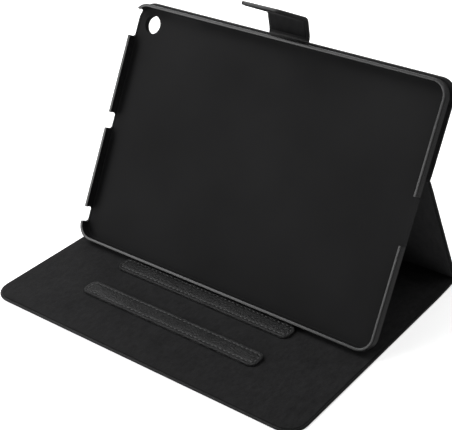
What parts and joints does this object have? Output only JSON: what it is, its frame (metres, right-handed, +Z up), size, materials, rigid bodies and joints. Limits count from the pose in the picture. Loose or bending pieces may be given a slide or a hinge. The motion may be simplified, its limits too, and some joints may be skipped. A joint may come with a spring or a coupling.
{
  "type": "tablet folio case",
  "caption": "Folding folio case for a tablet: hard snap-in tray on a hinged back that folds into a landscape stand, lined front cover with grip ridges, magnetic closing tab.",
  "frame": {"origin": "on the table, under the middle of the standing case's overall box", "axes": "+X along the case's long side, -Y towards the free edge of the front cover (the viewer's side), +Z up"},
  "size_m": [0.2456, 0.1978, 0.1899],
  "materials": {
    "synthetic_leather": "fine-grained satin black",
    "grained_leather": "pebbled satin black",
    "suede_lining": "matte brushed microfibre",
    "stiff_board": "plain grey board",
    "foam_core": "plain foam",
    "thread": "twisted black thread",
    "keeper_steel": "plain sheet steel",
    "magnet": "nickel-plated",
    "adhesive": "translucent adhesive sheet",
    "hard_shell": "satin moulded polycarbonate"
  },
  "bodies": {
    "front_cover": {"front_cover_skin": "synthetic_leather", "front_cover_board": "stiff_board", "front_cover_lining": "suede_lining", "clasp_keeper_plate": "keeper_steel", "front_ridge_leather": "grained_leather", "front_ridge_core": "foam_core", "front_ridge_stitching": "thread", "rear_ridge_leather": "grained_leather", "rear_ridge_core": "foam_core", "rear_ridge_stitching": "thread"},
    "spine": {"spine_crease": "synthetic_leather", "spine_skin": "synthetic_leather", "spine_board": "stiff_board", "spine_lining": "suede_lining"},
    "stand_panel": {"stand_crease": "synthetic_leather", "stand_skin": "synthetic_leather", "stand_board": "stiff_board", "stand_lining": "suede_lining"},
    "back_panel": {"fold_crease": "synthetic_leather", "back_skin": "synthetic_leather", "back_board": "stiff_board", "back_lining": "suede_lining", "tray_glue_pad": "adhesive", "tray_shell": "hard_shell"},
    "tab_neck": {"tab_lower_crease": "synthetic_leather", "tab_neck_skin": "synthetic_leather", "tab_neck_lining": "suede_lining"},
    "tab_head": {"tab_upper_crease": "synthetic_leather", "tab_head_skin": "synthetic_leather", "tab_head_lining": "suede_lining", "tab_magnets": "magnet"}
  },
  "joints": [
    {"name": "stand_hinge", "type": "hinge", "parent": "spine", "child": "stand_panel", "pos_m": [0, 0.09802, 0.00277], "axis": [1, 0, 0], "range_deg": [-113.58, 0]},
    {"name": "spine_hinge", "type": "hinge", "parent": "front_cover", "child": "spine", "pos_m": [0, 0.08008, 0.0012], "axis": [1, 0, 0], "range_deg": [-5, 0]},
    {"name": "fold_hinge", "type": "hinge", "parent": "stand_panel", "child": "back_panel", "pos_m": [0, 0.04377, 0.10235], "axis": [1, 0, 0], "range_deg": [0, 55.28]},
    {"name": "tab_neck_hinge", "type": "hinge", "parent": "back_panel", "child": "tab_neck", "pos_m": [0, 0.07261, 0.15971], "axis": [1, 0, 0], "range_deg": [-39, 51]},
    {"name": "tab_head_hinge", "type": "hinge", "parent": "tab_neck", "child": "tab_head", "pos_m": [0, 0.0695, 0.17397], "axis": [1, 0, 0], "range_deg": [-52.8, 37.2]}
  ],
  "couplings": [
    {"joint": "spine_hinge", "follows": "stand_hinge", "ratio": 0.044022},
    {"joint": "fold_hinge", "follows": "stand_hinge", "ratio": -0.4867}
  ]
}
